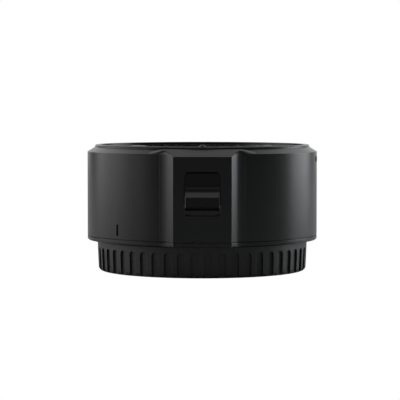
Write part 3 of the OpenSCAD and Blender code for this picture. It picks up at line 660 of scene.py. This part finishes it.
# %% Flanks of the crest
groove_top, point_h = foot_z + 2.12, 0.7
wide = [(5.05, 0.55), (4.74, 0), (4.5, 0), (4.5, 0.4)]
point = [(5.05, 0.6), (5.0, 0.55), (4.9, 0.6), (4.9, 0.65)]
for way, side in ((-1, "left"), (1, "right")):
    loops = []
    for plan, z in ((wide, groove_top), (wide, ridge_z), (point, ridge_z + point_h)):
        loops.append([(way * x, crest_y + depth, z) for x, depth in plan])
    skin(f"crest_flank_{side}", loops, "release", "slide_plastic")

# %% [markdown]
# The panel's sloping sides don't meet the round barrel in a sharp corner. They run out into it in a hollow
# with a radius of several millimetres, which shades from bright to black. Its centre lies off the slope
# and off the barrel by that radius, so it touches both. The back of the skin is buried in the solid.

# %% Plan of the hollow beside the panel
shell_low, shell_high = (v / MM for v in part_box("outer_shell"))
ring_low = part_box("base_ring")[0] / MM
barrel_r, collar_r, panel_half, foot_half = 35.0, 32.7, 8.4, 10.5
hollow_r, hollow_steps = 6.0, 12
bury_barrel, bury_foot, bury_panel = 0.988, 0.985, 0.4
panel = Vector((panel_half, -shell_low.y))
foot = Vector((foot_half, math.sqrt(barrel_r**2 - foot_half**2)))
slope = (foot - panel).normalized()
out = Vector((-slope.y, slope.x))
start = panel + hollow_r * out
run = -start.dot(slope) - math.sqrt(start.dot(slope) ** 2 - start.dot(start) + (barrel_r + hollow_r) ** 2)
centre = start + run * slope
ends = [math.atan2(-v.y, -v.x) for v in (out, centre)]
arc = []
for i in range(hollow_steps + 1):
    angle = ends[0] + (ends[1] - ends[0]) * i / hollow_steps
    arc.append(centre + hollow_r * Vector((math.cos(angle), math.sin(angle))))
plan = arc + [arc[-1] * bury_barrel, foot * bury_foot, arc[0] - bury_panel * out]
print("hollow from", [round(v, 2) for v in arc[0]], "to", [round(v, 2) for v in arc[-1]])

# %% [markdown]
# The hollow is cut by the thin seam, so it has a piece below it and one above. On top lies a lid that joins
# it to the panel's sloping top and then runs out along the edge of the conical shoulder. Each loop of
# the lid has a point on the shoulder, one on the edge below and one that is buried.

# %% Hollows and lids
seam_z, seam_h, collar_h, shoulder_h, panel_drop = 10.65, 0.3, 0.7, 1.4, 2.05
lid_steps, fade_steps, fade, lid_proud, lid_depth = 6, 3, math.radians(6), 0.01, 1.5
shoulder_z = shell_high.z - collar_h
edge_z = shoulder_z - shoulder_h
panel_fall = panel_drop / (panel.y - collar_r)
shoulder_run = barrel_r - collar_r
lid = [(arc[0].lerp(foot, i / hollow_steps), arc[i], edge_z) for i in range(1, hollow_steps + 1)]
for i in range(1, lid_steps + 1):
    inner_r = barrel_r - shoulder_run * i / lid_steps
    outer_r = min(barrel_r, barrel_r - shoulder_run * (i - fade_steps) / fade_steps)
    angle = math.atan2(arc[-1].x, arc[-1].y) + fade * min(1, i / fade_steps)
    rise = shoulder_h * (barrel_r - outer_r) / shoulder_run
    edge = Vector((math.sin(angle), math.cos(angle))) * outer_r
    lid.append((Vector((foot.x, math.sqrt(inner_r**2 - foot.x**2))), edge, edge_z + rise))
for way, side in ((-1, "left"), (1, "right")):
    for level, low, high in (("base", ring_low.z, seam_z), ("shell", seam_z + seam_h, edge_z)):
        loops = [[(way * v.x, -v.y, z) for v in plan] for z in (low, high)]
        skin(f"hollow_{level}_{side}", loops, "adapter", "barrel_paint")
    loops = []
    for inner, outer, z in lid:
        top = shoulder_z - panel_fall * max(0, inner.y - collar_r)
        points = (inner, outer, (inner + outer) / 2)
        heights = (top + lid_proud, z + lid_proud, z - lid_depth)
        loops.append([(way * v.x, -v.y, height) for v, height in zip(points, heights)])
    skin(f"hollow_lid_{side}", loops, "adapter", "barrel_paint")
print("hollow from", round(ring_low.z, 2), "to", round(edge_z, 2), "and the lid to", round(shoulder_z, 2))

# %% [markdown]
# High on the right the picture has a black mark that is as wide as it is tall, although the barrel turns
# away there. So it must be long round the barrel. The mark is a dimple that is dark with shade. A dull
# black pad with round ends is painted shade that stands in for it, and it stands out by a hair.

# %% Painted shade pad for the index dimple on the right
pad_az, pad_span, pad_steps = math.radians(82), math.radians(5.6), 16
pad_h, pad_tip_h, pad_z = 0.8, 0.05, shoulder_z - 3.6
pad_in, pad_out = barrel_r - 0.25, barrel_r + 0.03
pad_half = pad_span * barrel_r
loops = []
for i in range(pad_steps + 1):
    share = -math.cos(math.pi * i / pad_steps)
    near_end = max(0, abs(share) * pad_half - (pad_half - pad_h))
    rise = max(pad_tip_h, math.sqrt(max(0, pad_h**2 - near_end**2)))
    angle = pad_az + share * pad_span
    section = ((pad_in, -rise), (pad_out, -rise), (pad_out, rise), (pad_in, rise))
    loops.append([(r * math.sin(angle), -r * math.cos(angle), pad_z + z) for r, z in section])
skin("index_shade_pad", loops, "adapter", "baffle_black")

# %% [markdown]
# A spring is pressed together when the slide goes down, which a rigid solid can't show. So a rounder coil
# stands for it and the solid spring is hidden. The coil is built once where the spring is, tied to no
# body, with its foot on the shelf.

# %% Coil in place of the spring
low, high = (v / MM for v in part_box("release_spring"))
wire_r, turns, per_turn, wire_sides = 0.2, 7, 24, 8
coil_r, coil_y = (high.x - low.x) / 2 - wire_r, (low.y + high.y) / 2
coil_rise = high.z - low.z - 2 * wire_r
loops = []
for i in range(turns * per_turn + 1):
    angle = 2 * math.pi * i / per_turn
    z = low.z + wire_r + coil_rise * i / (turns * per_turn)
    loop = []
    for k in range(wire_sides):
        roll = 2 * math.pi * k / wire_sides
        r = coil_r + wire_r * math.cos(roll)
        loop.append((r * math.cos(angle), coil_y + r * math.sin(angle), z + wire_r * math.sin(roll)))
    loops.append(loop)
coil = skin("spring_coil", loops, None, "spring_steel")
coil.data.shade_smooth()
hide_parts("release_spring")
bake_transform(coil)
print("spring from", round(low.z, 2), "to", round(high.z, 2), "radius", round(coil_r, 2))

# %% [markdown]
# The record names one material slot for each piece, and the finishes carry the same names. So one short
# loop dresses the whole assembly, and a new piece only needs its slot in the record.

# %% Dress the pieces
for piece in frame["record"]["subparts"]:
    mesh = frame["nodes"][piece["node"]].data
    mesh.materials.clear()
    mesh.materials.append(finishes[piece["material_slot"]])
